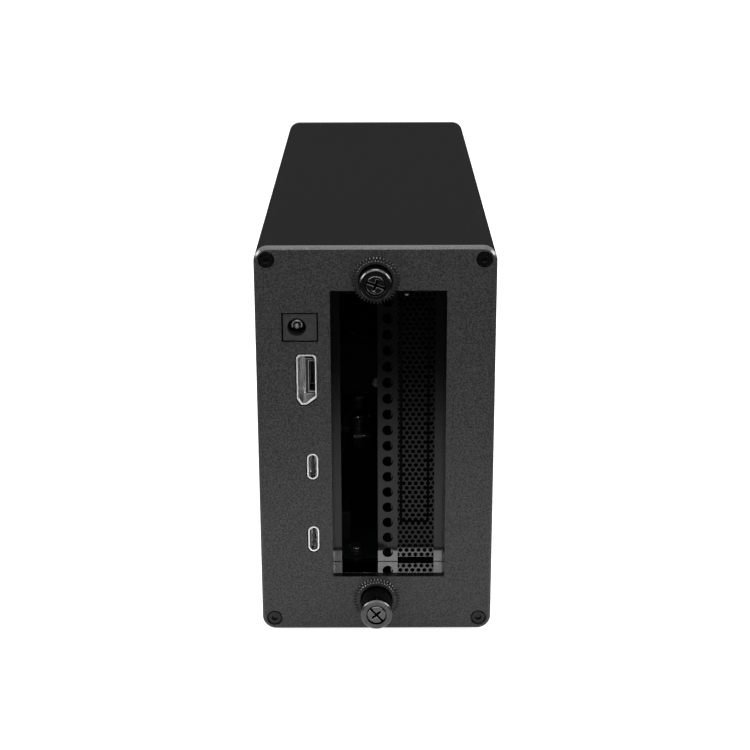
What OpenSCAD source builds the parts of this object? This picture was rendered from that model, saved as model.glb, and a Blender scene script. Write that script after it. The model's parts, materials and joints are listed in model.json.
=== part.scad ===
// Expansion chassis for plug-in cards, millimetres.
// The port panel faces -Y, +Z is up, and the feet stand on z = 0.
// Inside placed() a point is given as x from the middle, y from the port panel's
// outer face inwards, and z above the housing's underside.

/* [Housing] */
// Width of the housing
housing_w = 84; // [82:1:96]
// Height of the housing without its feet
housing_h = 145; // [144:1:160]
// Length of the extruded sleeve between the two panels
sleeve_len = 246; // [240:1:290]
// Thickness of the port panel and the fan panel
panel_t = 3; // [2.6:0.1:4]
// Wall of the sleeve
wall_t = 2.5; // [2:0.1:3]
// Outer corner radius of sleeve and panels
corner_r = 5; // [4:0.5:6]
// Chamfer round the outer face of a panel
edge_chamfer = 0.8; // [0.4:0.1:1.2]
// Distance of each corner screw from the two edges next to it
screw_inset = 4.45; // [4.2:0.05:5.2]
// Thread radius of the corner screws
case_screw_r = 1.5; // [1.2:0.05:1.6]
// Head radius of the corner screws
case_head_r = 2.4; // [2.2:0.05:2.6]

/* [Feet] */
// Radius of a rubber foot
foot_r = 6; // [4:0.5:8]
// Height of a rubber foot
foot_h = 2; // [1:0.5:4]
// Distance of a foot's centre from the housing's sides and ends
foot_inset = 14; // [10:1:20]

/* [Card opening] */
// Distance from one card slot to the next
slot_pitch = 20.32; // [20.32:0.02:20.8]
// Middle of the card opening, to the right of the housing's middle
opening_x = 4.5; // [3.5:0.5:5.5]
// Height of the opening's lower edge above the underside
opening_z = 21.2; // [20.8:0.2:22]
// Distance from the housing's top to the opening's upper edge
opening_drop = 15.4; // [15:0.1:17]
// Depth of the slot frame behind the panel's outer face
recess_depth = 13; // [12.6:0.2:14]
// Width of each slot window
window_w = 13.4; // [12:0.2:14]
// Radius of a round vent hole between the windows
vent_r = 1.95; // [1.5:0.05:2.4]
// Distance from one vent hole to the next
vent_pitch = 6.06; // [5.4:0.02:7]
// Thickness of the folded steel sheet
sheet_t = 1.2; // [1:0.1:1.4]

/* [Slot cover] */
// Width of the slot cover's sheet
cover_w = 18.4; // [17:0.2:19]
// Thickness of the slot cover
cover_t = 0.9; // [0.8:0.05:1]
// Distance across a perforation's corners
mesh_hole_d = 1.72; // [1.2:0.02:1.8]
// Distance between perforations in a row
mesh_pitch = 2.24; // [2.1:0.02:2.6]
// Distance between rows of perforations
mesh_row = 1.8; // [1.7:0.02:2.2]
// Width of the raised panel pressed into the slot cover
emboss_w = 10.3; // [8:0.1:11]
// How far that panel stands out towards the front
emboss_step = 0.45; // [0.3:0.05:0.5]

/* [Thumbscrews] */
// Radius of a knob's barrel
knob_r = 5.7; // [5:0.1:6]
// Length of a knob
knob_len = 13.3; // [12:0.1:14]
// How far a tightened knob stands in front of the panel
knob_proud = 7; // [6.5:0.1:8]
// Distance that a thumbscrew slides between tight and loose
knob_travel = 6; // [5:0.1:6]
// Height of the upper thumbscrew below the housing's top
upper_knob_drop = 11.7; // [11.2:0.1:12.2]
// Height of the lower thumbscrew above the housing's underside
lower_knob_z = 12; // [11.4:0.1:12.2]
// Thread radius of a thumbscrew
thumb_r = 2; // [1.8:0.1:2.2]
// Outer radius of a guide ring's serrated flange
ring_flange_r = 8.5; // [8.2:0.1:9]
// Gap between the knob and its guide ring
ring_gap = 0.3; // [0.2:0.05:0.4]

/* [Boards] */
// Thickness of the circuit boards
board_t = 1.6; // [1.4:0.1:1.8]
// Right face of the main board, from the housing's middle
board_x = -18.9; // [-19.2:0.1:-18.6]
// Length of the main board
board_len = 186; // [180:1:196]
// Height of the top of the riser board above the underside
riser_z = 16; // [15.6:0.1:16.4]
// Length of the card connector
connector_len = 89; // [80:1:92]
// Distance from the slot frame to the card connector
connector_gap = 33; // [30:1:40]
// Height of the card connector above the riser board
connector_h = 11.25; // [10:0.25:12]

/* [Ports] */
// Distance from the housing's top to the power jack's middle
jack_drop = 28.7; // [28:0.1:31]
// Radius of the power jack's socket
jack_r = 3.3; // [3:0.05:3.6]
// Radius of the power jack's centre pin
jack_pin_r = 1; // [0.8:0.05:1.25]
// Distance from the housing's top to the video socket's middle
video_drop = 47.9; // [46:0.1:50]
// Width of the video socket's shell
video_w = 7.1; // [6.8:0.1:7.6]
// Height of the video socket's shell
video_h = 18.6; // [18:0.1:19]
// Distance from the housing's top to the upper data socket's middle
data_upper_drop = 80.7; // [75:0.1:83]
// Distance from the housing's top to the lower data socket's middle
data_lower_drop = 108.9; // [105:0.1:111]
// Width of a data socket's shell
data_w = 4; // [3.6:0.1:4.2]
// Height of a data socket's shell
data_h = 9.9; // [9.4:0.1:10.2]
// Thickness of the socket shells' rims
shell_t = 0.55; // [0.35:0.05:0.6]

/* [Fan] */
// Width and height of the fan frame
fan_w = 70; // [60:1:72]
// Depth of the fan
fan_t = 15; // [12:1:20]
// Distance of the fan's screw holes from its edges
fan_screw_inset = 5; // [4:0.5:8]
// Number of blades
blade_count = 9; // [7:1:11]
// Distance across the corners of a grille hole
grille_hole_d = 5; // [4:0.1:5.2]
// Distance between grille holes
grille_pitch = 5.2; // [5.2:0.1:6.5]

/* [Hidden] */
$fn = 48;

// Clearances
touch = 0.3;
slip = 0.06;
axial_slip = 0.05;

// Overall depth, and the shift that puts the footprint's middle at the origin
depth = sleeve_len + 2 * panel_t;
loose_proud = knob_proud + knob_travel;
front_y = loose_proud - (depth + loose_proud) / 2;

// Housing
inner_w = housing_w - 2 * wall_t;
inner_h = housing_h - 2 * wall_t;
inner_r = max(corner_r - wall_t, 0.5);
screw_x = housing_w / 2 - screw_inset;
screw_zs = [screw_inset, housing_h - screw_inset];
port_boss_r = case_screw_r + 1.9;
case_screw_len = 12;
counterbore_r = case_head_r + 0.5;
counterbore_depth = 1.9;
case_head_h = counterbore_depth - touch;

// Rails that carry the tray
rail_reach = 2.4;
rail_t = 1.5;
tray_z = 8;
tray_slot = sheet_t + 0.6;
tray_half_w = inner_w / 2 - touch;

// Card opening and the two slots
opening_w = 2 * slot_pitch;
opening_left = opening_x - opening_w / 2;
opening_right = opening_x + opening_w / 2;
opening_top = housing_h - opening_drop;
opening_h = opening_top - opening_z;
slot_xs = [opening_x - slot_pitch / 2 - 0.45, opening_x + slot_pitch / 2 - 0.05];
frame_y = recess_depth;
frame_back = frame_y + sheet_t;
window_z = opening_z;
shelf_z = opening_top;
vent_x = (slot_xs[0] + slot_xs[1]) / 2;
vent_z0 = opening_z + 3.7;
vent_rows = floor((opening_h - 6) / vent_pitch);
cheek_depth = 12;
flange_depth = 14;
flange_x = 8;
front_edge = panel_t + touch;
shelf_screw_x = -3.5;
shelf_screw_y = frame_y - 3;
shelf_screw_r = 1.35;
shelf_collar_r = 2.5;
shelf_collar_h = 2;

// Slot cover
cover_back = frame_back + cover_t;
cover_tongue_w = 10.2;
cover_tongue_z = tray_z + sheet_t + 1.3;
cover_shoulder_z = opening_z - 2;
cover_tab_y = front_edge + 1;
joggle_step = 1.2;
joggle_h = 2;
joggle_overlap = 0.08;
joggle_z = opening_z + 1.35;
mesh_margin = 2.3;
mesh_z0 = window_z + mesh_margin;
mesh_rows = floor((opening_top - mesh_margin - 0.7 - mesh_z0) / mesh_row);
mesh_columns = ceil((window_w + mesh_hole_d) / mesh_pitch);
emboss_low = 16.8;
emboss_high = 8.6;
emboss_z0 = opening_z + emboss_low;
emboss_z1 = opening_top - emboss_high;

// Thumbscrews
upper_knob_z = housing_h - upper_knob_drop;
ring_bore_r = knob_r + ring_gap;
ring_tube_r = ring_bore_r + 0.9;
ring_floor_y = knob_len - knob_proud + touch;
ring_floor_t = 1.4;
ring_back = ring_floor_y + ring_floor_t;
ring_flange_t = 0.8;
ring_tooth = 1.1;
ring_teeth = 42;
knurl_count = 44;
knurl_depth = 0.28;
clip_r = 3.4;
clip_t = 0.8;
clip_core_r = thumb_r - 0.45;
thumb_len = 18;
screw_head_r = 3.3;
screw_head_h = 1.8;
screw_head_gap = 0.45;
screw_chamfer = 0.25;
slot_w = 0.95;
slot_depth = 0.9;
cross_w = 4.4;
cross_depth = 1.3;
lock_y = ring_back + touch + knob_travel + 5;
nut_r = 3.5;
nut_len = 3;
lock_half_w = flange_x - touch;

// Boards
board_left = board_x - board_t;
board_y = panel_t + 0.4;
board_z = riser_z + 2;
board_top = opening_top - 3.6;
tray_wall_x = -(inner_w / 2 - 2.9);
standoff_r = 2.5;
m3_r = 1.5;
head_r = 2.75;
head_h = 1.8;
board_screw_len = 5;
riser_bottom = riser_z - board_t;
riser_left = board_left - 3.5;
riser_right = 24;
riser_y = frame_back + 16;
riser_len = 190;
connector_x = slot_xs[0] - window_w / 2 - 1.2;
connector_w = 7.5;
connector_y = frame_y + connector_gap;
connector_end = connector_y + connector_len;
latch_axis_y = connector_end + 3.2;
latch_axis_z = riser_z + 4.5;
latch_w = 4;
latch_pin_r = 0.8;
link_y = connector_end + 12;
link_len = 36;
link_w = 6;
link_h = 8;
standoff_places = [for (y = [board_y + 30.6, board_y + board_len - 8],
    z = [board_z + 18, board_top - 6]) [y, z]];
riser_places = [for (x = [-flange_x, riser_right - 4.5], y = [riser_y + 5, riser_y + riser_len - 5])
    [x, y]];

// Parts on the boards
cap_r = 5;
cap_h = 10.6;
cap_base_h = 1.2;
cap_rim = 0.8;
cap_x = slot_xs[0] - 2.2;
cap_pitch = 27;
cap_ys = [connector_end + cap_pitch + 1, connector_end + 2 * cap_pitch + 1];
inductor_w = 8;
inductor_h = 5;
inductor_pitch = 11;
inductor_right = riser_right - inductor_w + 1;
inductor_xs = [inductor_right - inductor_pitch, inductor_right];
inductor_ys = [cap_ys[0] - inductor_pitch, cap_ys[0] + inductor_pitch];
chip_w = 16;
chip_t = 1.6;
chip_y = board_y + board_len / 2;
chip_z = (board_z + board_top) / 2;
heatsink_w = 36;
heatsink_base_t = 2;
heatsink_fin_t = 1.2;
heatsink_fins = 7;
heatsink_clear = 3.3;
heatsink_reach = board_left - chip_t - tray_wall_x - sheet_t - heatsink_clear;

// Outlines of the sockets in x and z, seen from outside
jack_w = 11.7;
jack_h = 9.6;
jack_len = 13.5;
jack_depth = 9.5;
jack_front = 0.5;
jack_x = board_left - 0.05 - jack_w / 2;
jack_z = housing_h - jack_drop;
jack_socket_x = jack_x - 1.1;
video_x = board_left - touch - video_w / 2;
video_z = housing_h - video_drop;
data_x = board_left - 0.2 - data_w / 2;
data_zs = [housing_h - data_upper_drop, housing_h - data_lower_drop];
cutout_gap = 0.35;
jack_gap = 0.55;
shell_y = 0.3;
video_len = 12;
data_len = 9;
shell_back_t = 0.8;

// Fan
fan_back_y = depth - panel_t;
fan_y = fan_back_y - fan_t;
fan_z = housing_h / 2;
fan_screw_pitch = fan_w - 2 * fan_screw_inset;
fan_hole_r = 2.2;
fan_head_r = 3.9;
fan_head_h = 1.9;
fan_bore_r = fan_w / 2 - 1.6;
fan_hub_r = 17;
fan_shaft_r = 1.5;
blade_r = fan_bore_r - 1;
grille_r = fan_bore_r - 1.5;

// Power light in the fan panel
light_z = 12;
light_r = 1.5;

module placed() {
    translate([0, front_y, foot_h]) children();
}

// A box between two x, two y and two z values
module block(xs, ys, zs) {
    translate([xs[0], ys[0], zs[0]]) cube([xs[1] - xs[0], ys[1] - ys[0], zs[1] - zs[0]]);
}

// A cylinder along Y from y0 to y1
module rod_y(x, z, y0, y1, r, r2 = undef) {
    translate([x, y0, z]) rotate([-90, 0, 0])
        cylinder(r1 = r, r2 = is_undef(r2) ? r : r2, h = y1 - y0);
}

// A cylinder along X from x0 to x1
module rod_x(y, z, x0, x1, r) {
    translate([x0, y, z]) rotate([0, 90, 0]) cylinder(r = r, h = x1 - x0);
}

// A flat shape drawn in x and z, given a length along Y from y0 to y1
module slab_y(y0, y1) {
    translate([0, y1, 0]) rotate([90, 0, 0]) linear_extrude(height = y1 - y0) children();
}

module rounded_outline(w, h, r) {
    square([w - 2 * r, h], center = true);
    square([w, h - 2 * r], center = true);
    for (sx = [-1, 1], sz = [-1, 1])
        translate([sx * (w / 2 - r), sz * (h / 2 - r)]) circle(r = r);
}

// Points of a ring of teeth between two radii
function teeth(count, r_in, r_out) = [
    for (i = [0 : count - 1], k = [0 : 3])
        let (turn = 360 * (i + [0, 0.2, 0.5, 0.7][k]) / count, r = [r_out, r_out, r_in, r_in][k])
            r * [cos(turn), sin(turn)]
];

// Places of a staggered field of holes
function staggered(columns, rows, pitch, row) = [
    for (j = [0 : rows - 1], i = [0 : columns - 1 - j % 2])
        [(i - (columns - 1 - j % 2) / 2) * pitch, j * row]
];

module at_corners() {
    for (sx = [-1, 1], z = screw_zs)
        translate([sx * screw_x, 0, z]) children();
}

module housing_sleeve() {
    color([0.05, 0.05, 0.055]) placed() difference() {
        slab_y(panel_t, panel_t + sleeve_len) union() {
            difference() {
                translate([0, housing_h / 2]) rounded_outline(housing_w, housing_h, corner_r);
                translate([0, housing_h / 2]) rounded_outline(inner_w, inner_h, inner_r);
            }
            for (sx = [-1, 1], z = screw_zs)
                intersection() {
                    translate([sx * screw_x, z]) circle(r = port_boss_r);
                    translate([0, housing_h / 2]) rounded_outline(housing_w - 2, housing_h - 2, corner_r - 1);
                }
            for (sx = [-1, 1], z = [tray_z - rail_t, tray_z + tray_slot])
                translate([sx * (inner_w / 2 - (rail_reach - 0.5) / 2), z + rail_t / 2])
                    square([rail_reach + 0.5, rail_t], center = true);
        }
        at_corners() rod_y(0, 0, panel_t - 1, depth, case_screw_r + slip);
    }
}

// A plate with a chamfered outer edge, its outer face at y = 0
module chamfered_plate() {
    inner_edge = edge_chamfer;
    slab_y(inner_edge, panel_t)
        translate([0, housing_h / 2]) rounded_outline(housing_w, housing_h, corner_r);
    hull() for (sx = [-1, 1], sz = [-1, 1])
        translate([sx * (housing_w / 2 - corner_r), 0, housing_h / 2 + sz * (housing_h / 2 - corner_r)])
            rod_y(0, 0, 0, inner_edge, corner_r - edge_chamfer, corner_r, $fn = 48);
}

module corner_holes() {
    at_corners() {
        rod_y(0, 0, -1, panel_t + 1, case_screw_r + 0.1);
        rod_y(0, 0, -1, counterbore_depth, counterbore_r);
    }
}

module stadium(x, z, w, h) {
    translate([x, z]) {
        square([w, h - w], center = true);
        for (s = [-1, 1]) translate([0, s * (h - w) / 2]) circle(r = w / 2);
    }
}

// The video socket: small corners at the top, a long slant at the lower right
module video_outline(grow = 0) {
    w = video_w / 2 + grow;
    h = video_h / 2 + grow;
    corner = 0.9;
    slant = [3.6, 2.7];
    notch = [1.5, 2.2];
    translate([video_x, video_z]) polygon([[corner - w, h], [w - corner, h], [w, h - corner],
        [w, slant[1] - h], [w - slant[0], -h], [notch[0] - w, -h], [-w, notch[1] - h], [-w, h - corner]]);
}

module port_panel() {
    color([0.06, 0.06, 0.065]) placed() difference() {
        chamfered_plate();
        corner_holes();
        block([opening_left, opening_right], [-1, panel_t + 1], [opening_z, opening_top]);
        rod_y(0, upper_knob_z, -1, panel_t + 1, ring_tube_r + slip);
        rod_y(0, lower_knob_z, -1, panel_t + 1, ring_tube_r + slip);
        block([jack_x - jack_w / 2 - jack_gap, jack_x + jack_w / 2 + jack_gap],
            [-1, panel_t + 1], [jack_z - jack_h / 2 - jack_gap, jack_z + jack_h / 2 + jack_gap]);
        slab_y(-1, panel_t + 1) video_outline(cutout_gap);
        slab_y(-1, panel_t + 1) for (z = data_zs)
            stadium(data_x, z, data_w + 2 * cutout_gap, data_h + 2 * cutout_gap);
    }
}

module fan_panel() {
    grille_row = grille_pitch * sqrt(3) / 2;
    half = ceil(grille_r / grille_pitch);
    color([0.06, 0.06, 0.065]) placed() difference() {
        translate([0, depth, 0]) mirror([0, 1, 0]) chamfered_plate();
        translate([0, depth, 0]) mirror([0, 1, 0]) corner_holes();
        slab_y(depth - panel_t - 1, depth + 1) translate([0, fan_z])
            for (j = [-half - 1 : half + 1], i = [-half - 1 : half + 1]) {
                x = (i + abs(j % 2) / 2) * grille_pitch;
                z = j * grille_row;
                if (norm([x, z]) + grille_hole_d / 2 < grille_r)
                    translate([x, z]) rotate(30) circle(d = grille_hole_d - 0.6, $fn = 6);
            }
        for (sx = [-1, 1], sz = [-1, 1])
            translate([sx * fan_screw_pitch / 2, 0, fan_z + sz * fan_screw_pitch / 2]) {
                rod_y(0, 0, depth - panel_t - 1, depth + 1, fan_hole_r);
                rod_y(0, 0, depth - fan_head_h, depth + 0.01, fan_hole_r, fan_head_r + 0.1);
            }
        rod_y(0, light_z, depth - panel_t - 1, depth + 1, light_r + slip);
    }
}

module case_screw() {
    difference() {
        rod_y(0, 0, touch, touch + case_head_h, case_head_r);
        rod_y(0, 0, touch - 1, touch + 1.1, 1.25, $fn = 6);
    }
    rod_y(0, 0, touch + case_head_h, case_screw_len, case_screw_r);
}

module port_panel_screws() {
    color([0.1, 0.1, 0.1]) placed() at_corners() case_screw();
}

module fan_panel_screws() {
    color([0.1, 0.1, 0.1]) placed() translate([0, depth, 0]) mirror([0, 1, 0]) at_corners() case_screw();
}

module rubber_feet() {
    color([0.03, 0.03, 0.03]) placed()
        for (sx = [-1, 1], y = [foot_inset, depth - foot_inset])
            translate([sx * (housing_w / 2 - foot_inset), y, -foot_h])
                cylinder(r1 = foot_r - 0.6, r2 = foot_r, h = foot_h);
}

module inner_tray() {
    base_top = tray_z + sheet_t;
    color([0.35, 0.36, 0.37]) placed() difference() {
        union() {
            block([-tray_half_w, tray_half_w], [frame_back, fan_y - 4], [tray_z, base_top]);
            block([tray_wall_x, tray_wall_x + sheet_t], [frame_back + 4, board_y + board_len],
                [tray_z, board_top]);
            block([-lock_half_w, lock_half_w], [lock_y, lock_y + sheet_t],
                [tray_z, lower_knob_z + nut_r + 1]);
            rod_y(0, lower_knob_z, lock_y + sheet_t, lock_y + sheet_t + nut_len, nut_r);
        }
        rod_y(0, lower_knob_z, lock_y - 1, lock_y + sheet_t + nut_len + 1, thumb_r + slip);
        for (p = standoff_places)
            rod_x(p[0], p[1], tray_wall_x - 1, tray_wall_x + sheet_t + 1, m3_r + 0.1);
        for (p = riser_places)
            translate([p[0], p[1], tray_z - 1]) cylinder(r = m3_r + 0.1, h = sheet_t + 2);
        block([1 - flange_x, flange_x - 1], [0, lock_y - 0.5], [tray_z - 1, base_top + 1]);
    }
}

// The folded sheet that forms the recess: plate, floor, shelf, side walls and rear cheeks
module slot_frame() {
    left = opening_left - sheet_t;
    right = opening_right + sheet_t;
    base_top = tray_z + sheet_t;
    lock_top = upper_knob_z + nut_r + 2.5;
    color([0.09, 0.09, 0.095]) placed() difference() {
        union() {
            block([left, right], [frame_y, frame_back], [base_top, shelf_z]);
            block([left, right], [front_edge, frame_y], [shelf_z - sheet_t, shelf_z]);
            block([left, opening_left], [front_edge, frame_y], [opening_z - sheet_t, shelf_z]);
            block([opening_right, right], [front_edge, frame_y], [opening_z - sheet_t, shelf_z]);
            for (xs = [[left, opening_left], [opening_right, right]]) {
                block(xs, [frame_back, frame_back + cheek_depth], [base_top, lock_top]);
            }
            for (xs = [[left, -flange_x], [flange_x, right]])
                block(xs, [frame_back, frame_back + flange_depth], [base_top, base_top + sheet_t]);
            block([left, right], [lock_y, lock_y + sheet_t], [shelf_z + 0.3, lock_top]);
            rod_y(0, upper_knob_z, lock_y + sheet_t, lock_y + sheet_t + nut_len, nut_r);
            for (x = slot_xs)
                translate([x + shelf_screw_x, shelf_screw_y, shelf_z - sheet_t - shelf_collar_h])
                    cylinder(r = shelf_collar_r, h = shelf_collar_h);
        }
        for (x = slot_xs)
            block([x - window_w / 2, x + window_w / 2], [frame_y - 1, frame_back + 1],
                [window_z, shelf_z - sheet_t - shelf_collar_h - 0.3]);
        for (i = [0 : vent_rows])
            rod_y(vent_x, vent_z0 + i * vent_pitch, frame_y - 1, frame_back + 1, vent_r);
        for (x = slot_xs)
            translate([x + shelf_screw_x, shelf_screw_y, shelf_z - sheet_t - shelf_collar_h - 1])
                cylinder(r = shelf_screw_r, h = sheet_t + shelf_collar_h + 2);
        rod_y(0, lower_knob_z, frame_y - 1, frame_back + 1, clip_r + 0.6);
        rod_y(0, upper_knob_z, lock_y - 1, lock_y + sheet_t + nut_len + 1, thumb_r + slip);
        rod_y(0, upper_knob_z, front_edge - 1, ring_back + 0.4, ring_tube_r + 0.4);
    }
}

module recess_sill() {
    color([0.03, 0.03, 0.03]) placed()
        block([opening_left, opening_right], [front_edge, frame_y], [opening_z - sheet_t, opening_z]);
}

module perforations() {
    for (p = staggered(mesh_columns, mesh_rows, mesh_pitch, mesh_row))
        translate([slot_xs[1] + p[0], mesh_z0 + p[1]]) rotate(30) circle(d = mesh_hole_d, $fn = 6);
}

module emboss_area(grow) {
    translate([slot_xs[1] - emboss_w / 2 - grow, emboss_z0 - grow])
        square([emboss_w + 2 * grow, emboss_z1 - emboss_z0 + 2 * grow]);
}

module vented_slot_cover() {
    x = slot_xs[1];
    color([0.16, 0.16, 0.165]) placed() {
        slab_y(frame_back, cover_back) difference() {
            translate([x - cover_w / 2, joggle_z]) square([cover_w, shelf_z + cover_t - joggle_z]);
            emboss_area(0);
            perforations();
        }
        slab_y(frame_back + joggle_step, cover_back + joggle_step) {
            translate([x - cover_w / 2, cover_shoulder_z])
                square([cover_w, joggle_z - joggle_h - cover_shoulder_z]);
            translate([x - cover_tongue_w / 2, cover_tongue_z])
                square([cover_tongue_w, cover_shoulder_z - cover_tongue_z + 1]);
        }
        translate([x - cover_w / 2, 0, joggle_z]) rotate([90, 0, 90]) linear_extrude(height = cover_w)
            polygon([[frame_back, joggle_overlap], [cover_back, joggle_overlap], [cover_back, 0],
                [cover_back + joggle_step, -joggle_h],
                [cover_back + joggle_step, -joggle_h - joggle_overlap],
                [frame_back + joggle_step, -joggle_h - joggle_overlap],
                [frame_back + joggle_step, -joggle_h], [frame_back, 0]]);
        slab_y(frame_back - emboss_step, cover_back - emboss_step) difference() {
            emboss_area(emboss_step);
            perforations();
        }
        difference() {
            block([ring_tube_r + 0.5, x + cover_w / 2], [cover_tab_y, cover_back],
                [shelf_z, shelf_z + cover_t]);
            translate([x + shelf_screw_x, shelf_screw_y, shelf_z - 1])
                cylinder(r = m3_r + 0.25, h = cover_t + 2);
        }
    }
}

module cover_screw() {
    seat = shelf_z + cover_t;
    color([0.6, 0.6, 0.62]) placed()
        translate([slot_xs[1] + shelf_screw_x, shelf_screw_y, 0]) difference() {
            union() {
                translate([0, 0, seat - 5]) cylinder(r = shelf_screw_r - slip, h = 5);
                translate([0, 0, seat]) cylinder(r = 3, h = 1.8, $fn = 6);
            }
            translate([0, 0, seat + 1]) for (a = [0, 90])
                rotate(a) translate([0, 0, 0.6]) cube([3, 0.8, 1.2], center = true);
        }
}

// Guide ring pressed into the panel: serrated flange, tube and floor
module guide_ring(z) {
    color([0.1, 0.1, 0.1]) placed() difference() {
        union() {
            translate([0, 0, z]) slab_y(-ring_flange_t, 0)
                polygon(teeth(ring_teeth, ring_flange_r - ring_tooth, ring_flange_r));
            rod_y(0, z, -ring_flange_t - 0.2, ring_back, ring_tube_r);
        }
        rod_y(0, z, -ring_flange_t - 1, ring_floor_y, ring_bore_r);
        rod_y(0, z, 0, ring_back + 1, thumb_r + slip);
    }
}

// Open ring that holds the thumbscrew captive; out is how far the screw is slid out
module retaining_ring(z, out) {
    y = ring_back + touch + knob_travel - out;
    color([0.5, 0.5, 0.52]) placed() difference() {
        rod_y(0, z, y, y + clip_t, clip_r);
        rod_y(0, z, y - 1, y + clip_t + 1, clip_core_r + slip);
        block([-clip_core_r - 0.2, clip_core_r + 0.2], [y - 1, y + clip_t + 1], [z - clip_r - 1, z]);
    }
}

module knob(z, out) {
    y = -knob_proud - out;
    color([0.08, 0.08, 0.085]) placed() difference() {
        union() {
            rod_y(0, z, y, y + 0.6, knob_r - 0.55, knob_r);
            rod_y(0, z, y + 0.6, y + 2, knob_r);
            translate([0, 0, z]) slab_y(y + 1.5, y + knob_len)
                polygon(teeth(knurl_count, knob_r - 0.05 - knurl_depth, knob_r - 0.05));
        }
        rod_y(0, z, y - 1, y + screw_head_h, screw_head_r + screw_head_gap);
        rod_y(0, z, y, y + knob_len + 1, thumb_r + slip);
    }
}

module thumb_screw(z, out, turn) {
    y = -knob_proud - out;
    groove_y = ring_back + touch + knob_travel - out - axial_slip;
    head_y = y + 0.25;
    color([0.3, 0.3, 0.31]) placed() difference() {
        union() {
            rod_y(0, z, head_y, head_y + screw_chamfer, screw_head_r - screw_chamfer, screw_head_r);
            rod_y(0, z, head_y + screw_chamfer, y + screw_head_h, screw_head_r);
            rod_y(0, z, y + screw_head_h, y + knob_len + thumb_len, thumb_r);
        }
        difference() {
            rod_y(0, z, groove_y, groove_y + clip_t + 2 * axial_slip, thumb_r + 1);
            rod_y(0, z, groove_y - 1, groove_y + clip_t + 1, clip_core_r);
        }
        translate([0, head_y, z]) rotate([0, turn, 0]) {
            cube([2 * screw_head_r + 1, 2 * slot_depth, slot_w], center = true);
            cube([slot_w, 2 * cross_depth, cross_w], center = true);
        }
    }
}

module upper_guide_ring() guide_ring(upper_knob_z);
module lower_guide_ring() guide_ring(lower_knob_z);
module upper_retaining_ring() retaining_ring(upper_knob_z, 0);
module lower_retaining_ring() retaining_ring(lower_knob_z, knob_travel);
module upper_knob() knob(upper_knob_z, 0);
module lower_knob() knob(lower_knob_z, knob_travel);
module upper_screw() thumb_screw(upper_knob_z, 0, 20);
module lower_screw() thumb_screw(lower_knob_z, knob_travel, 48);

module main_board() {
    color([0.02, 0.09, 0.05]) placed() difference() {
        block([board_left, board_x], [board_y, board_y + board_len], [board_z, board_top]);
        for (p = standoff_places)
            rod_x(p[0], p[1], board_left - 1, board_x + 1, m3_r + 0.1);
    }
}

module board_standoffs() {
    color([0.75, 0.6, 0.3]) placed() for (p = standoff_places) difference() {
        translate([tray_wall_x + sheet_t, p[0], p[1]]) rotate([0, 90, 0])
            cylinder(r = standoff_r, h = board_left - tray_wall_x - sheet_t, $fn = 6);
        rod_x(p[0], p[1], board_left - 6, board_left + 1, m3_r + slip);
    }
}

module board_screws() {
    color([0.6, 0.6, 0.62]) placed() for (p = standoff_places) {
        rod_x(p[0], p[1], board_x - board_screw_len, board_x, m3_r);
        rod_x(p[0], p[1], board_x, board_x + head_h, head_r);
    }
}

module riser_board() {
    color([0.02, 0.09, 0.05]) placed() difference() {
        block([riser_left, riser_right], [riser_y, riser_y + riser_len], [riser_bottom, riser_z]);
        for (p = riser_places)
            translate([p[0], p[1], riser_bottom - 1]) cylinder(r = m3_r + 0.1, h = board_t + 2);
    }
}

module riser_standoffs() {
    base_top = tray_z + sheet_t;
    color([0.75, 0.6, 0.3]) placed() for (p = riser_places) difference() {
        translate([p[0], p[1], base_top]) cylinder(r = standoff_r, h = riser_bottom - base_top, $fn = 6);
        translate([p[0], p[1], base_top - 1]) cylinder(r = m3_r + slip, h = riser_bottom);
    }
}

module riser_screws() {
    color([0.6, 0.6, 0.62]) placed() for (p = riser_places) {
        translate([p[0], p[1], riser_z - board_screw_len]) cylinder(r = m3_r, h = board_screw_len);
        translate([p[0], p[1], riser_z]) cylinder(r = head_r, h = head_h);
    }
}

module link_socket() {
    mid = (board_left + board_x) / 2;
    color([0.05, 0.05, 0.05]) placed() difference() {
        block([mid - link_w / 2, mid + link_w / 2], [link_y, link_y + link_len], [riser_z, riser_z + link_h]);
        block([board_left - slip, board_x + slip], [link_y - 1, link_y + link_len + 1],
            [board_z - 0.2, riser_z + link_h + 1]);
    }
}

module card_connector() {
    ear_y = latch_axis_y + 2.4;
    groove_w = 1.8;
    key_y = connector_y + 11.5;
    color([0.04, 0.04, 0.04]) placed() difference() {
        union() {
            block([connector_x - connector_w / 2, connector_x + connector_w / 2],
                [connector_y, connector_end], [riser_z, riser_z + connector_h]);
            for (xs = [[-connector_w / 2, -latch_w / 2 - touch], [latch_w / 2 + touch, connector_w / 2]])
                block([connector_x + xs[0], connector_x + xs[1]], [connector_end, ear_y],
                    [riser_z, riser_z + connector_h * 0.75]);
        }
        block([connector_x - groove_w / 2, connector_x + groove_w / 2],
            [connector_y + 1.8, key_y], [riser_z + 2.8, riser_z + connector_h + 1]);
        block([connector_x - groove_w / 2, connector_x + groove_w / 2],
            [key_y + 1.8, connector_end - 1.8], [riser_z + 2.8, riser_z + connector_h + 1]);
        rod_x(latch_axis_y, latch_axis_z, connector_x - connector_w, connector_x + connector_w,
            latch_pin_r + slip);
    }
}

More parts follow.
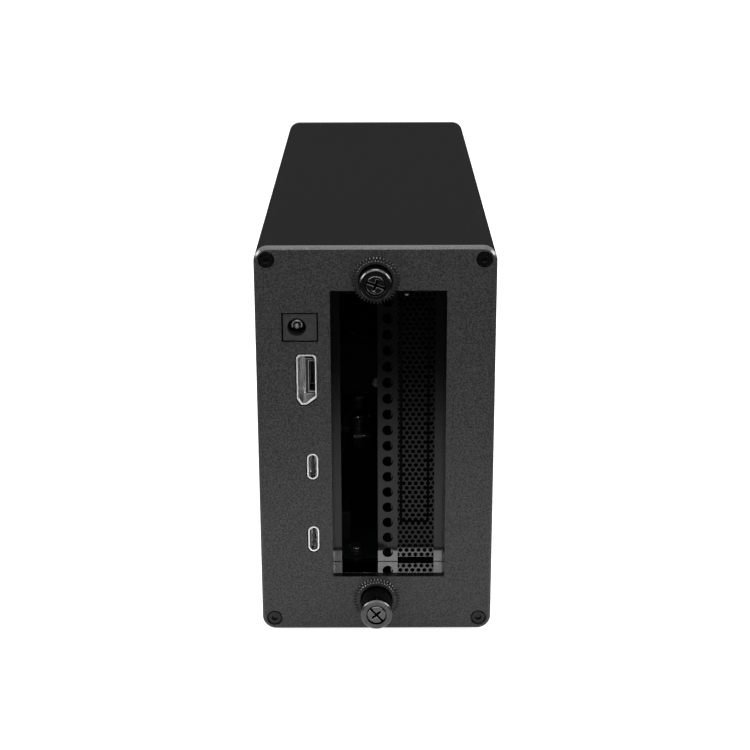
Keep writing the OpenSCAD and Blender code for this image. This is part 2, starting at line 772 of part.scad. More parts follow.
// Latch that hooks over the notch in a card's lower edge, on its own two stub pins
module connector_latch() {
    top = riser_z + connector_h;
    color([0.75, 0.75, 0.72]) placed() {
        translate([connector_x - latch_w / 2, latch_axis_y, 0]) rotate([90, 0, 90])
            linear_extrude(height = latch_w) polygon([[-1.4, riser_z + 1.2], [1.4, riser_z + 1.2],
                [1.8, riser_z + 7], [1.8, top + 1.5], [6.5, top + 3.2], [6.5, top + 4.6],
                [0.5, top + 4.2], [-4.5, top + 3], [-4.5, top + 1.2], [-2.4, top + 0.6],
                [-1.6, riser_z + 8]]);
        rod_x(latch_axis_y, latch_axis_z, connector_x - connector_w / 2 + 0.2,
            connector_x + connector_w / 2 - 0.2, latch_pin_r);
    }
}

module riser_capacitors() {
    color([0.72, 0.73, 0.75]) placed() for (y = cap_ys) translate([cap_x, y, riser_z]) {
        translate([-cap_r - 0.3, -cap_r - 0.3, 0]) cube([2 * cap_r + 0.6, 2 * cap_r + 0.6, cap_base_h]);
        translate([0, 0, cap_base_h]) cylinder(r = cap_r, h = cap_h - cap_base_h - cap_rim);
        translate([0, 0, cap_h - cap_rim]) cylinder(r1 = cap_r, r2 = cap_r - 0.5, h = cap_rim);
    }
}

module power_inductors() {
    half = inductor_w / 2;
    color([0.2, 0.2, 0.2]) placed() for (x = inductor_xs, y = inductor_ys)
        block([x - half, x + half], [y - half, y + half], [riser_z, riser_z + inductor_h]);
}

module controller_chip() {
    half = chip_w / 2;
    color([0.1, 0.1, 0.1]) placed()
        block([board_left - chip_t, board_left], [chip_y - half, chip_y + half],
            [chip_z - half, chip_z + half]);
}

module controller_heatsink() {
    back = board_left - chip_t;
    half = heatsink_w / 2;
    step = (heatsink_w - heatsink_fin_t) / (heatsink_fins - 1);
    color([0.55, 0.56, 0.58]) placed() union() {
        block([back - heatsink_base_t, back], [chip_y - half, chip_y + half],
            [chip_z - half, chip_z + half]);
        for (i = [0 : heatsink_fins - 1])
            block([back - heatsink_reach, back - heatsink_base_t / 2], [chip_y - half, chip_y + half],
                [chip_z - half + i * step, chip_z - half + i * step + heatsink_fin_t]);
    }
}

module power_jack() {
    color([0.04, 0.04, 0.04]) placed() difference() {
        block([jack_x - jack_w / 2, board_left], [jack_front, jack_front + jack_len],
            [jack_z - jack_h / 2, jack_z + jack_h / 2]);
        block([board_left - 0.05, 0], [0, board_y], [0, housing_h]);
        rod_y(jack_socket_x, jack_z, 0, jack_front + jack_depth, jack_r);
    }
}

// The pin has a chamfered tip and stands on the socket's floor
module jack_pin() {
    tip = jack_front + 1.4;
    chamfer = 0.4;
    color([0.75, 0.75, 0.76]) placed() {
        rod_y(jack_socket_x, jack_z, tip, tip + chamfer, jack_pin_r - chamfer, jack_pin_r);
        rod_y(jack_socket_x, jack_z, tip + chamfer, jack_front + jack_depth, jack_pin_r);
    }
}

// A folded shell with a closed back, and a foot on the main board
module video_socket_shell() {
    foot = 8;
    color([0.75, 0.75, 0.76]) placed() {
        slab_y(shell_y, video_len) difference() {
            video_outline();
            video_outline(-shell_t);
        }
        slab_y(video_len - shell_back_t, video_len) video_outline(-shell_t / 2);
        block([video_x + video_w / 2, board_left], [board_y + 0.4, video_len],
            [video_z - foot, video_z + foot]);
    }
}

module video_socket_tongue() {
    x = video_x + video_w / 2 - shell_t;
    reach = 3.6;
    rib = 1.4;
    low = video_z - 5.6;
    high = video_z + 7.5;
    front = shell_y + 1.3;
    back = video_len - shell_back_t;
    color([0.05, 0.05, 0.05]) placed() difference() {
        block([x - reach, x], [front, back], [low, high]);
        block([x - reach + rib, x + 1], [front - 1, back - rib], [low + 1, high - 1]);
    }
}

module data_socket_shells() {
    foot = 2.5;
    color([0.75, 0.75, 0.76]) placed() for (z = data_zs) {
        slab_y(shell_y, data_len) difference() {
            stadium(data_x, z, data_w, data_h);
            stadium(data_x, z, data_w - 2 * shell_t, data_h - 2 * shell_t);
        }
        slab_y(data_len - shell_back_t, data_len) stadium(data_x, z, data_w - shell_t, data_h - shell_t);
        block([data_x + data_w / 2 - shell_t / 2, board_left], [board_y + 0.4, data_len],
            [z - foot, z + foot]);
    }
}

module data_socket_tongues() {
    half_t = 0.35;
    half_h = 3.3;
    color([0.05, 0.05, 0.05]) placed() for (z = data_zs)
        block([data_x - half_t, data_x + half_t], [shell_y + 1.1, data_len - shell_back_t],
            [z - half_h, z + half_h]);
}

module fan_frame() {
    strut_t = 2.5;
    color([0.05, 0.05, 0.05]) placed() translate([0, 0, fan_z]) difference() {
        union() {
            difference() {
                block([-fan_w / 2, fan_w / 2], [fan_y, fan_back_y], [-fan_w / 2, fan_w / 2]);
                rod_y(0, 0, fan_y - 1, fan_back_y + 1, fan_bore_r);
            }
            for (a = [45, 135]) rotate([0, a, 0])
                block([-fan_bore_r - 1, fan_bore_r + 1], [fan_y, fan_y + strut_t], [-2, 2]);
            rod_y(0, 0, fan_y, fan_y + strut_t, fan_hub_r);
            rod_y(0, 0, fan_y, fan_y + fan_t - 4, 4);
        }
        rod_y(0, 0, fan_y + 1, fan_y + fan_t, fan_shaft_r + slip);
        for (sx = [-1, 1], sz = [-1, 1])
            rod_y(sx * fan_screw_pitch / 2, sz * fan_screw_pitch / 2, fan_y - 1, fan_back_y + 1,
                fan_hole_r - 0.1);
    }
}

module fan_rotor() {
    y0 = fan_y + 3;
    y1 = fan_back_y - 1;
    blade_t = 1.3;
    pitch_angle = 30;
    color([0.06, 0.06, 0.06]) placed() translate([0, 0, fan_z]) {
        difference() {
            rod_y(0, 0, y0, y1, fan_hub_r);
            rod_y(0, 0, y0 - 1, y1 - 2, fan_hub_r - 1.5);
        }
        rod_y(0, 0, fan_y + 1.5, y1 - 1, fan_shaft_r);
        intersection() {
            difference() {
                rod_y(0, 0, y0, y1, blade_r);
                rod_y(0, 0, y0 - 1, y1 + 1, fan_hub_r - 0.7);
            }
            union() for (i = [0 : blade_count - 1])
                rotate([0, i * 360 / blade_count, 0])
                    translate([(blade_r + fan_hub_r) / 2, (y0 + y1) / 2, 0])
                        rotate([pitch_angle, 0, 0])
                            cube([blade_r - fan_hub_r + 8, blade_t, 24], center = true);
        }
    }
}

module fan_screws() {
    color([0.1, 0.1, 0.1]) placed() translate([0, 0, fan_z])
        for (sx = [-1, 1], sz = [-1, 1])
            translate([sx * fan_screw_pitch / 2, 0, sz * fan_screw_pitch / 2]) difference() {
                union() {
                    rod_y(0, 0, fan_y + 3, depth, fan_hole_r - 0.15);
                    rod_y(0, 0, depth - fan_head_h + 0.1, depth - 0.1, fan_hole_r - 0.1, fan_head_r - 0.1);
                }
                for (a = [0, 90]) translate([0, depth - 0.1, 0]) rotate([0, a, 0])
                    cube([3.6, 1.8, 0.7], center = true);
            }
}

module power_light() {
    color([0.8, 0.85, 0.9]) placed() {
        rod_y(0, light_z, depth - panel_t - 3, depth - 0.2, light_r);
        rod_y(0, light_z, depth - panel_t - 1.2, depth - panel_t, light_r + 0.8);
    }
}

housing_sleeve();
port_panel();
fan_panel();
port_panel_screws();
fan_panel_screws();
rubber_feet();
inner_tray();
slot_frame();
recess_sill();
vented_slot_cover();
cover_screw();
upper_guide_ring();
upper_retaining_ring();
upper_knob();
upper_screw();
lower_guide_ring();
lower_retaining_ring();
lower_knob();
lower_screw();
main_board();
board_standoffs();
board_screws();
riser_board();
riser_standoffs();
riser_screws();
link_socket();
card_connector();
connector_latch();
riser_capacitors();
power_inductors();
controller_chip();
controller_heatsink();
power_jack();
jack_pin();
video_socket_shell();
video_socket_tongue();
data_socket_shells();
data_socket_tongues();
fan_frame();
fan_rotor();
fan_screws();
power_light();
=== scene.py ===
import json
import math

import bmesh
import bpy
from mathutils import Matrix, Vector


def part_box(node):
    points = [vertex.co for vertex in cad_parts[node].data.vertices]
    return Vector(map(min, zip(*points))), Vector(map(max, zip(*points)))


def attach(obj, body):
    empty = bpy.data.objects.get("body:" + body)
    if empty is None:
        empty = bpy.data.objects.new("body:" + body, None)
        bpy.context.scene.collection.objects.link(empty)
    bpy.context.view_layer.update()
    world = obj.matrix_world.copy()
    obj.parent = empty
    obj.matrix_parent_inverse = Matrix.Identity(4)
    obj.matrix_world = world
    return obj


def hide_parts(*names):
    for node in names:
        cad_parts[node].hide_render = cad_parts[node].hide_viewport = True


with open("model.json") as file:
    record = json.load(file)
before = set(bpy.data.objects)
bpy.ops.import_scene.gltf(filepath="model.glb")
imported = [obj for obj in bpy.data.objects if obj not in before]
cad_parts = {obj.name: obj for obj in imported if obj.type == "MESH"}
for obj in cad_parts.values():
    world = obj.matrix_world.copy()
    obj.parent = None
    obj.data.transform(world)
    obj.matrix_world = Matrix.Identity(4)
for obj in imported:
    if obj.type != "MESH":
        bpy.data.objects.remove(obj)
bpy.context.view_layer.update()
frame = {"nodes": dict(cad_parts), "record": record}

MM = 0.001

# Two places nearer than this are taken as one
NEAR = 0.05 * MM

# Places that the whole script works from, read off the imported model
PANEL_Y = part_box("port_panel")[0].y
UNDERSIDE_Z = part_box("housing_sleeve")[0].z


def place(x, y, z):
    """A point in metres from millimetres: x from the middle, y inwards from the port panel's
    outer face, z above the housing's underside."""
    return Vector((x * MM, PANEL_Y + y * MM, UNDERSIDE_Z + z * MM))


# Materials

def new_material(name):
    material = bpy.data.materials.new(name)
    material.use_nodes = True
    tree = material.node_tree
    return material, tree, tree.nodes["Principled BSDF"]


def add_grain(tree, shader, size, height, detail=3.0):
    """A fine bump whose grains are about size millimetres wide and height millimetres high."""
    spot = tree.nodes.new("ShaderNodeTexCoord")
    grain = tree.nodes.new("ShaderNodeTexNoise")
    grain.inputs["Scale"].default_value = 1 / (size * MM)
    grain.inputs["Detail"].default_value = detail
    bump = tree.nodes.new("ShaderNodeBump")
    bump.inputs["Strength"].default_value = 1.0
    bump.inputs["Distance"].default_value = height * MM
    tree.links.new(spot.outputs["Object"], grain.inputs["Vector"])
    tree.links.new(grain.outputs["Fac"], bump.inputs["Height"])
    tree.links.new(bump.outputs["Normal"], shader.inputs["Normal"])


def add_mottle(tree, shader, dark, light, size, stretch=(1, 1, 1), socket="Base Color"):
    """Varies a colour or a number between two values in soft patches of about size millimetres."""
    spot = tree.nodes.new("ShaderNodeTexCoord")
    scaling = tree.nodes.new("ShaderNodeMapping")
    scaling.inputs["Scale"].default_value = stretch
    patches = tree.nodes.new("ShaderNodeTexNoise")
    patches.inputs["Scale"].default_value = 1 / (size * MM)
    patches.inputs["Detail"].default_value = 4.0
    ramp = tree.nodes.new("ShaderNodeValToRGB")
    ramp.color_ramp.elements[0].position = 0.35
    ramp.color_ramp.elements[1].position = 0.65
    ramp.color_ramp.elements[0].color = (*dark, 1)
    ramp.color_ramp.elements[1].color = (*light, 1)
    tree.links.new(spot.outputs["Object"], scaling.inputs["Vector"])
    tree.links.new(scaling.outputs["Vector"], patches.inputs["Vector"])
    tree.links.new(patches.outputs["Fac"], ramp.inputs["Fac"])
    tree.links.new(ramp.outputs["Color"], shader.inputs[socket])


def grey(level):
    """A grey that leans a little to blue."""
    blue_lean = 1.02
    return (level, level, level * blue_lean)


def coated(name, level, rough, specular, grain_size=0.3, grain_height=0.02, spread=0.2):
    """Painted or anodised metal: a coat of this grey level with a fine grain. The spread is the
    share by which the level wanders. Sizes of grains are in millimetres here and below."""
    patch_size = 0.6
    material, tree, shader = new_material(name)
    add_mottle(tree, shader, grey(level * (1 - spread)), grey(level * (1 + spread)), patch_size)
    shader.inputs["Roughness"].default_value = rough
    shader.inputs["Specular IOR Level"].default_value = specular
    add_grain(tree, shader, grain_size, grain_height)
    return material


def bare_metal(name, level, rough, scratch_size=0.4, stretch=(1, 1, 1), tint=(1, 1, 1)):
    """Metal without paint, with a roughness that wanders along its grain."""
    patch_size = 2.0
    scratch_depth = 0.003
    material, tree, shader = new_material(name)
    shader.inputs["Metallic"].default_value = 1.0
    low = [level * 0.9 * t for t in tint]
    high = [level * 1.1 * t for t in tint]
    add_mottle(tree, shader, low, high, patch_size, stretch)
    add_mottle(tree, shader, (rough * 0.8,) * 3, (rough * 1.25,) * 3, scratch_size, stretch, "Roughness")
    add_grain(tree, shader, scratch_size, scratch_depth)
    return material


def moulded(name, colour, rough, specular=0.4, grain_size=0.5, grain_height=0.01):
    """Plastic or rubber from a mould, with soft patches and a fine grain."""
    patch_size = 1.5
    material, tree, shader = new_material(name)
    add_mottle(tree, shader, [c * 0.85 for c in colour], [c * 1.15 for c in colour], patch_size)
    shader.inputs["Roughness"].default_value = rough
    shader.inputs["Specular IOR Level"].default_value = specular
    add_grain(tree, shader, grain_size, grain_height)
    return material


def circuit_board(name):
    """Dark solder mask with a faint net of tracks under it."""
    track_distance = 3 * MM
    mask = (0.002, 0.004, 0.003, 1)
    track = (0.004, 0.008, 0.006, 1)
    material, tree, shader = new_material(name)
    spot = tree.nodes.new("ShaderNodeTexCoord")
    cells = tree.nodes.new("ShaderNodeTexVoronoi")
    cells.distance = "MANHATTAN"
    cells.inputs["Scale"].default_value = 1 / track_distance
    ramp = tree.nodes.new("ShaderNodeValToRGB")
    ramp.color_ramp.elements[0].position = 0.45
    ramp.color_ramp.elements[1].position = 0.5
    ramp.color_ramp.elements[0].color = mask
    ramp.color_ramp.elements[1].color = track
    tree.links.new(spot.outputs["Object"], cells.inputs["Vector"])
    tree.links.new(cells.outputs["Distance"], ramp.inputs["Fac"])
    tree.links.new(ramp.outputs["Color"], shader.inputs["Base Color"])
    shader.inputs["Roughness"].default_value = 0.6
    shader.inputs["Specular IOR Level"].default_value = 0.2
    add_grain(tree, shader, 2.0, 0.01)
    return material


# One material for each slot of the record, and those of second coats
COATS = {
    "sleeve_coat": coated("sleeve_coat", 0.0125, 0.6, 0.002, spread=0.25),
    "panel_coat": coated("panel_coat", 0.0318, 0.32, 0.26, 0.3, 0.008, 0.6),
    "frame_coat": coated("frame_coat", 0.0015, 0.12, 0.34, 0.6, 0.001),
    "sill_gloss": bare_metal("sill_gloss", 0.6, 0.04),
    # Near-black coat on the walls of the card opening: painted shade
    "painted_opening_shade": coated("painted_opening_shade", 0.002, 0.2, 0.2, 0.6, 0.001),
    # Near-black coat for the painted shade along the slot cover's bend
    "painted_bend_shade": coated("painted_bend_shade", 0.001, 0.7, 0.02, 0.6, 0.001),
    "ring_black": coated("ring_black", 0.02, 0.3, 0.25, 0.3, 0.004, 0.3),
    "ring_teeth": bare_metal("ring_teeth", 0.2, 0.3),
    "chamfer_sheen": bare_metal("chamfer_sheen", 0.08, 0.25),
    "contact_metal": bare_metal("contact_metal", 0.95, 0.5),
    "worn_edge": bare_metal("worn_edge", 0.35, 0.25),
    # Pale grey on the video socket tongue's bevels: a painted highlight along its edges
    "painted_tongue_highlight": moulded("painted_tongue_highlight", (0.3, 0.3, 0.3), 0.5),
    "cover_coat": coated("cover_coat", 0.0015, 0.14, 0.25, 0.6, 0.001),
    "screw_black": bare_metal("screw_black", 0.03, 0.3),
    "slot_shadow": bare_metal("slot_shadow", 0.006, 0.6),
    "knob_black": bare_metal("knob_black", 0.075, 0.2),
    "thumb_steel": bare_metal("thumb_steel", 0.09, 0.2),
    "zinc_steel": bare_metal("zinc_steel", 0.6, 0.3),
    "tray_steel": bare_metal("tray_steel", 0.05, 0.4, 3.0),
    "rubber": moulded("rubber", (0.012, 0.012, 0.012), 0.85, 0.2, 0.4, 0.03),
    "board_black": circuit_board("board_black"),
    "brass": bare_metal("brass", 0.7, 0.3, tint=(1.0, 0.76, 0.4)),
    "connector_black": moulded("connector_black", (0.012, 0.012, 0.013), 0.45),
    "latch_pale": moulded("latch_pale", (0.05, 0.05, 0.048), 0.5),
    "capacitor": bare_metal("capacitor", 0.5, 0.3),
    "inductor": moulded("inductor", (0.06, 0.06, 0.06), 0.7),
    "chip": moulded("chip", (0.015, 0.015, 0.015), 0.5),
    "heatsink": bare_metal("heatsink", 0.5, 0.4, stretch=(1, 0.1, 1)),
    "plated_shell": bare_metal("plated_shell", 0.85, 0.3),
    "jack_black": moulded("jack_black", (0.03, 0.03, 0.03), 0.4),
    "fan_plastic": moulded("fan_plastic", (0.01, 0.01, 0.01), 0.8, 0.1),
    "light_lens": moulded("light_lens", (0.75, 0.78, 0.8), 0.3),
}
RECORD = frame["record"]
NODE_SLOTS = {part["node"]: part["material_slot"] for part in RECORD["subparts"]}
NODE_BODIES = {node: body for body, nodes in RECORD["behaviour"]["bodies"].items() for node in nodes}


# Pieces

def finish_piece(piece, slot, body, *nodes):
    """Gives a piece the material of its slot and its body, and hides the CAD nodes that it stands for."""
    piece.data.materials.clear()
    piece.data.materials.append(COATS[slot])
    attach(piece, body)
    if nodes:
        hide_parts(*nodes)
    return piece


def recoat(piece, coat):
    """Changes a piece's main material. Its slot stays."""
    piece.data.materials[0] = COATS[coat]


def new_piece(name, bm, smooth_angle=35):
    """A smooth shaded object. Its edges over smooth_angle degrees stay sharp, where that is set."""
    mesh = bpy.data.meshes.new(name)
    bm.to_mesh(mesh)
    bm.free()
    mesh.shade_smooth()
    if smooth_angle:
        mesh.set_sharp_from_angle(angle=math.radians(smooth_angle))
    piece = bpy.data.objects.new(name, mesh)
    bpy.context.scene.collection.objects.link(piece)
    return piece


def apply_modifiers(piece):
    """Keeps what a piece's modifiers make of it, and removes them."""
    bpy.context.view_layer.update()
    solved = piece.evaluated_get(bpy.context.evaluated_depsgraph_get())
    mesh = bpy.data.meshes.new_from_object(solved)
    piece.modifiers.clear()
    piece.data = mesh


def cone_teeth(bm, node):
    """Leans the front of a guide ring's teeth inwards, so that they catch the light from above."""
    low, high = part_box(node)
    middle = Vector((0, 0, (low.z + high.z) / 2))
    tooth_front = PANEL_Y - 0.8 * MM
    tooth_root = 7.1 * MM
    lean = 0.45 * MM
    for vert in bm.verts:
        arm = Vector((vert.co.x, 0, vert.co.z)) - middle
        if abs(vert.co.y - tooth_front) < NEAR and arm.length > tooth_root:
            vert.co -= arm.normalized() * lean


def open_seam(bm, node):
    """Draws the sill's rear edge back from the slot frame, which leaves a thin dark seam."""
    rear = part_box(node)[1].y
    seam = 0.35 * MM
    for vert in bm.verts:
        if vert.co.y > rear - NEAR:
            vert.co.y -= seam


RESHAPES = {"upper_guide_ring": cone_teeth, "lower_guide_ring": cone_teeth, "recess_sill": open_seam}


def softened(node, width):
    """A copy of a CAD node whose sharp edges are broken by width millimetres. It replaces the node."""
    same_point = 0.001 * MM
    flat_angle = math.radians(0.3)
    sharp_angle = math.radians(30)
    bm = bmesh.new()
    bm.from_mesh(frame["nodes"][node].data)
    bmesh.ops.remove_doubles(bm, verts=bm.verts, dist=same_point)
    bmesh.ops.dissolve_limit(bm, angle_limit=flat_angle, verts=bm.verts, edges=bm.edges)
    if node in RESHAPES:
        RESHAPES[node](bm, node)
    piece = new_piece(node + "_finish", bm, 0)
    bevel = piece.modifiers.new("edges", "BEVEL")
    bevel.width = width * MM
    bevel.segments = 2
    bevel.limit_method = "ANGLE"
    bevel.angle_limit = sharp_angle
    bevel.use_clamp_overlap = True
    flatten = piece.modifiers.new("flat_faces", "WEIGHTED_NORMAL")
    flatten.mode = "FACE_AREA"
    flatten.weight = 100
    apply_modifiers(piece)
    return finish_piece(piece, NODE_SLOTS[node], NODE_BODIES[node], node)


def second_coat(piece, coat, wanted):
    """Gives the faces that wanted picks out a second material."""
    piece.data.materials.append(COATS[coat])
    for face in piece.data.polygons:
        if wanted(face):
            face.material_index = len(piece.data.materials) - 1


def slanted(face):
    """True for a face of a bevel or a chamfer that leads from a front to its sides."""
    return 0.2 < abs(face.normal.y) < 0.96


def frontal(face):
    """True for a face that looks towards the port panel's side, also at a slant."""
    return face.normal.y < -0.2


# Width in millimetres of each node's broken edges
EDGE_BREAKS = {
    "housing_sleeve": 0.25, "port_panel": 0.2, "fan_panel": 0.15, "slot_frame": 0.12, "recess_sill": 0.01,
    "vented_slot_cover": 0.06, "upper_guide_ring": 0.08, "lower_guide_ring": 0.08,
    "upper_knob": 0.07, "lower_knob": 0.07, "upper_screw": 0.12, "lower_screw": 0.12,
    "port_panel_screws": 0.12, "fan_panel_screws": 0.12, "rubber_feet": 0.3, "inner_tray": 0.12,
    "cover_screw": 0.12, "card_connector": 0.15, "connector_latch": 0.2, "link_socket": 0.15,
    "riser_capacitors": 0.2, "power_inductors": 0.3, "controller_chip": 0.15, "controller_heatsink": 0.1,
    "power_jack": 0.3, "video_socket_shell": 0.1, "data_socket_shells": 0.1,
    "video_socket_tongue": 0.22, "data_socket_tongues": 0.08, "fan_frame": 0.4, "fan_rotor": 0.25,
    "fan_screws": 0.1, "power_light": 0.1, "riser_screws": 0.2, "board_screws": 0.2,
}
PIECES = {node: softened(node, width) for node, width in EDGE_BREAKS.items()}

# The other nodes come through as they are, with the material of their slot
for node, cad in frame["nodes"].items():
    if node not in EDGE_BREAKS:
        cad.data.materials.clear()
        cad.data.materials.append(COATS[NODE_SLOTS[node]])

SILL_LOW, SILL_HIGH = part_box("recess_sill")
COVER_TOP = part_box("vented_slot_cover")[1].z


def opening_wall(face):
    """True for the port panel's cut edges round the card opening, which take a painted shade."""
    margin = 0.3 * MM
    spot = face.center
    across = SILL_LOW.x - margin < spot.x < SILL_HIGH.x + margin
    upright = SILL_HIGH.z - margin < spot.z < COVER_TOP
    return across and upright and abs(face.normal.y) < 0.3


def top_chamfer(face):
    """True for the chamfer along the port panel's upper edge."""
    in_front = abs(face.center.y - PANEL_Y) < 1 * MM
    on_top = face.center.z > COVER_TOP + 5 * MM and face.normal.z > 0.3
    return slanted(face) and in_front and on_top


def darken_slots(node):
    """Blackens what lies between the face of a screw's head and the foot of its cross."""
    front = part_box(node)[0].y
    top, foot = front + 0.35 * MM, front + 1.7 * MM
    second_coat(PIECES[node], "slot_shadow", lambda face: top < face.center.y < foot)


# The card opening's walls are blackened: painted shade
second_coat(PIECES["port_panel"], "painted_opening_shade", opening_wall)
second_coat(PIECES["port_panel"], "chamfer_sheen", top_chamfer)
# Pale grey bevels on the black tongue: painted highlight
second_coat(PIECES["video_socket_tongue"], "painted_tongue_highlight", slanted)
for end in ("upper", "lower"):
    second_coat(PIECES[end + "_screw"], "worn_edge", slanted)
    darken_slots(end + "_screw")
    recoat(PIECES[end + "_guide_ring"], "ring_black")
    second_coat(PIECES[end + "_guide_ring"], "ring_teeth", slanted)
for node in ("video_socket_shell", "data_socket_shells"):
    second_coat(PIECES[node], "contact_metal", frontal)


def add_painted_bend_shade():
    """A painted shade: a thin dark band laid just before the slot cover, where its sheet bends round its
    raised panel.
    """
    left, right, low, high = 8.75, 19.45, 36.8, 122
    width = 0.85
    depth = 13.72
    bm = bmesh.new()
    rings = []
    for inset in (0, width):
        corners = [(left + inset, low + inset), (right - inset, low + inset),
                   (right - inset, high - inset), (left + inset, high - inset)]
        rings.append([bm.verts.new(place(x, depth, z)) for x, z in corners])
    outer, inner = rings
    for i in range(4):
        j = (i + 1) % 4
        bm.faces.new([outer[i], outer[j], inner[j], inner[i]])
    piece = new_piece("slot_cover_painted_bend_shade", bm)
    finish_piece(piece, "cover_coat", NODE_BODIES["vented_slot_cover"])
    # The band takes the near-black coat of the painted shade
    recoat(piece, "painted_bend_shade")


def add_jack_contact():
    """The spring contact that stands round the power jack's pin, as an arc of round wire."""
    low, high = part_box("jack_pin")
    behind_tip = 1.5 * MM
    middle = Vector(((low.x + high.x) / 2, low.y + behind_tip, (low.z + high.z) / 2))
    ring_radius, wire_radius = 1.7 * MM, 0.32 * MM
    start, sweep = -25, 230
    steps, sides = 24, 8
    inwards = Vector((0, 1, 0))
    bm = bmesh.new()
    loops = []
    for i in range(steps + 1):
        turn = math.radians(start + sweep * i / steps)
        outwards = Vector((math.cos(turn), 0, math.sin(turn)))
        loop = []
        for k in range(sides):
            around = 2 * math.pi * k / sides
            reach = outwards * (ring_radius + wire_radius * math.cos(around))
            loop.append(bm.verts.new(middle + reach + inwards * wire_radius * math.sin(around)))
        loops.append(loop)
    for first, second in zip(loops, loops[1:]):
        for k in range(sides):
            m = (k + 1) % sides
            bm.faces.new([first[k], first[m], second[m], second[k]])
    bm.faces.new(loops[0][::-1])
    bm.faces.new(loops[-1])
    piece = new_piece("jack_contact", bm)
    finish_piece(piece, "plated_shell", NODE_BODIES["power_jack"])
    recoat(piece, "contact_metal")


add_painted_bend_shade()
add_jack_contact()


# Studio

def aim(item, position, forward, roll=0.0):
    """Points a lamp or the camera along forward, with a roll in degrees."""
    forward = Vector(forward).normalized()
    right = forward.cross(Vector((0, 0, 1))).normalized()
    up = right.cross(forward)
    tilt = math.radians(roll)
    right_rolled = right * math.cos(tilt) + up * math.sin(tilt)
    up_rolled = up * math.cos(tilt) - right * math.sin(tilt)
    turn = Matrix((right_rolled, up_rolled, -forward)).transposed()
    item.matrix_world = Matrix.Translation(Vector(position)) @ turn.to_4x4()


def add_camera():
    """The photograph's viewpoint: straight before the port panel and above it."""
    position = place(0.880, -550.17, 282.30)
    pitch, yaw, roll = math.radians(18.433), math.radians(-0.120), -0.189
    data = bpy.data.cameras.new("camera")
    data.sensor_width = 36
    data.lens = 79.28
    data.clip_start = 0.05
    data.clip_end = 50
    camera = bpy.data.objects.new("camera", data)
    bpy.context.scene.collection.objects.link(camera)
    forward = (math.sin(yaw) * math.cos(pitch), math.cos(yaw) * math.cos(pitch), -math.sin(pitch))
    aim(camera, position, forward, roll)
    bpy.context.scene.camera = camera


def add_softbox(name, position, target, width, height, power):
    """A rectangular lamp at position that faces target. Lengths are in metres, power in watts."""
    data = bpy.data.lights.new(name, "AREA")
    data.shape = "RECTANGLE"
    data.size = width
    data.size_y = height
    data.energy = power
    lamp = bpy.data.objects.new(name, data)
    bpy.context.scene.collection.objects.link(lamp)
    aim(lamp, position, Vector(target) - Vector(position))


def combine(tree, operation, *terms):
    """A maths node whose terms are numbers or the results of other nodes. Gives its own result."""
    node = tree.nodes.new("ShaderNodeMath")
    node.operation = operation
    for term, socket in zip(terms, node.inputs):
        if isinstance(term, float):
            socket.default_value = term
        else:
            tree.links.new(term, socket)
    return node.outputs[0]


def ramp_between(tree, source, start, end, start_level, end_level, shape="LINEAR"):
    """Turns start to end of a source into start_level to end_level. Gives the result."""
    node = tree.nodes.new("ShaderNodeMapRange")
    node.interpolation_type = shape
    node.inputs["From Min"].default_value = start
    node.inputs["From Max"].default_value = end
    node.inputs["To Min"].default_value = start_level
    node.inputs["To Max"].default_value = end_level
    tree.links.new(source, node.inputs["Value"])
    return node.outputs["Result"]


def axes_of(tree, kind):
    """The X, Y and Z of a texture coordinate of this kind."""
    spot = tree.nodes.new("ShaderNodeTexCoord")
    axes = tree.nodes.new("ShaderNodeSeparateXYZ")
    tree.links.new(spot.outputs[kind], axes.inputs[0])
    return axes.outputs


def direct_look(tree, path):
    """1 for what the camera sees, also through glass, and 0 for all other rays."""
    return combine(tree, "MAXIMUM", path.outputs["Is Camera Ray"], path.outputs["Is Transmission Ray"])


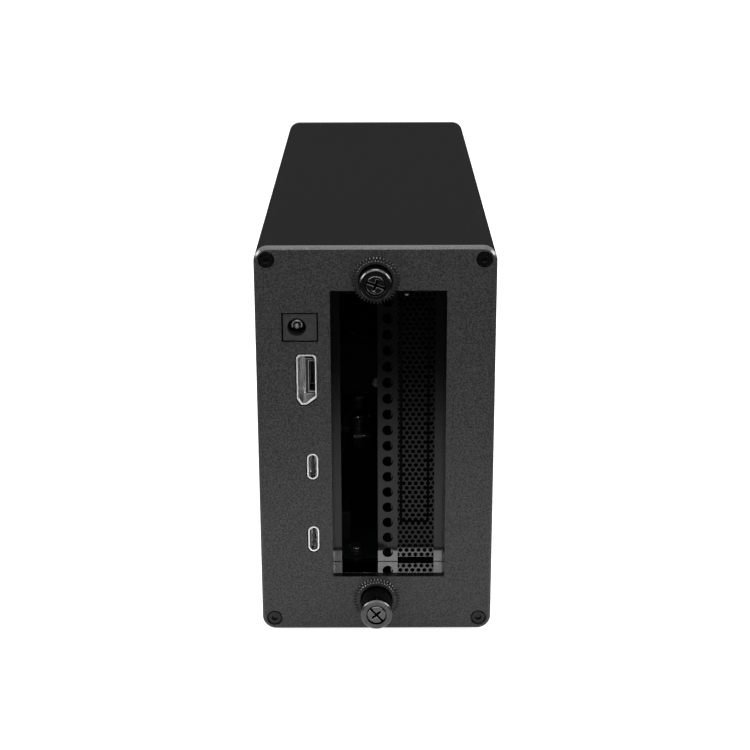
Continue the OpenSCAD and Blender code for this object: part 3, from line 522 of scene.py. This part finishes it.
def paper_material():
    """White paper that glossy faces see bright under and before the object and dark further out.
    A direct look finds it white everywhere."""
    glow = 0.93
    paper = 0.75
    mirrored_glow = 0.2
    near_y, far_y = -0.2, -0.42
    near_x, far_x = 0.1, 0.26
    far_level = 0.04
    material = bpy.data.materials.new("studio_floor")
    material.use_nodes = True
    tree = material.node_tree
    tree.nodes.clear()
    path = tree.nodes.new("ShaderNodeLightPath")
    glossy = path.outputs["Is Glossy Ray"]
    axes = axes_of(tree, "Object")
    forwards = ramp_between(tree, axes["Y"], far_y, near_y, far_level, 1.0, "SMOOTHSTEP")
    distance = combine(tree, "ABSOLUTE", axes["X"])
    sideways = ramp_between(tree, distance, far_x, near_x, far_level, 1.0, "SMOOTHSTEP")
    fade = combine(tree, "MULTIPLY", forwards, sideways)
    extent = combine(tree, "MAXIMUM", combine(tree, "SUBTRACT", 1.0, glossy), fade)
    diffuse = tree.nodes.new("ShaderNodeBsdfDiffuse")
    tree.links.new(combine(tree, "MULTIPLY", extent, paper), diffuse.inputs["Color"])
    mirrored = combine(tree, "MULTIPLY", combine(tree, "MULTIPLY", glossy, fade), mirrored_glow)
    direct = combine(tree, "MULTIPLY", direct_look(tree, path), glow)
    emission = tree.nodes.new("ShaderNodeEmission")
    tree.links.new(combine(tree, "MAXIMUM", direct, mirrored), emission.inputs["Strength"])
    both = tree.nodes.new("ShaderNodeAddShader")
    tree.links.new(diffuse.outputs[0], both.inputs[0])
    tree.links.new(emission.outputs[0], both.inputs[1])
    output = tree.nodes.new("ShaderNodeOutputMaterial")
    tree.links.new(both.outputs[0], output.inputs["Surface"])
    return material


def add_floor():
    bm = bmesh.new()
    bmesh.ops.create_grid(bm, x_segments=1, y_segments=1, size=6.0)
    floor = new_piece("studio_floor", bm)
    floor.data.materials.append(paper_material())


def add_world():
    """A white backdrop for direct looks. Glossy faces find it white behind and dark in front, where
    the studio is."""
    ambient = 0.1
    front_y, back_y = -0.5, 0.2
    front_level, back_level = 0.03, 1.0
    world = bpy.data.worlds.new("studio")
    bpy.context.scene.world = world
    world.use_nodes = True
    tree = world.node_tree
    background = tree.nodes["Background"]
    background.inputs["Color"].default_value = (1, 1, 1, 1)
    path = tree.nodes.new("ShaderNodeLightPath")
    axes = axes_of(tree, "Generated")
    backdrop = ramp_between(tree, axes["Y"], front_y, back_y, front_level, back_level)
    mirrored = tree.nodes.new("ShaderNodeMix")
    mirrored.inputs["A"].default_value = ambient
    tree.links.new(path.outputs["Is Glossy Ray"], mirrored.inputs["Factor"])
    tree.links.new(backdrop, mirrored.inputs["B"])
    level = tree.nodes.new("ShaderNodeMix")
    level.inputs["B"].default_value = 1.0
    tree.links.new(direct_look(tree, path), level.inputs["Factor"])
    tree.links.new(mirrored.outputs["Result"], level.inputs["A"])
    tree.links.new(level.outputs["Result"], background.inputs["Strength"])


add_camera()
add_floor()
add_world()
panel_middle = (0, -0.12, 0.1)
for side, across in (("left", -1), ("right", 1)):
    add_softbox(side + "_softbox", (0.55 * across, -0.75, 1.0), panel_middle, 1.0, 1.0, 7)
for side, across in (("left", -1), ("right", 1)):
    add_softbox(side + "_strip", (1.0 * across, -0.25, 0.65), panel_middle, 0.25, 0.5, 5)
add_softbox("overhead_softbox", (0, -0.05, 1.2), (0, -0.1, 0.15), 0.6, 0.6, 6)
add_softbox("front_light", (0.03, -1.47, 0.64), (0, -0.12, 0.03), 0.14, 0.14, 0.85)
bpy.context.scene.view_settings.view_transform = "Standard"
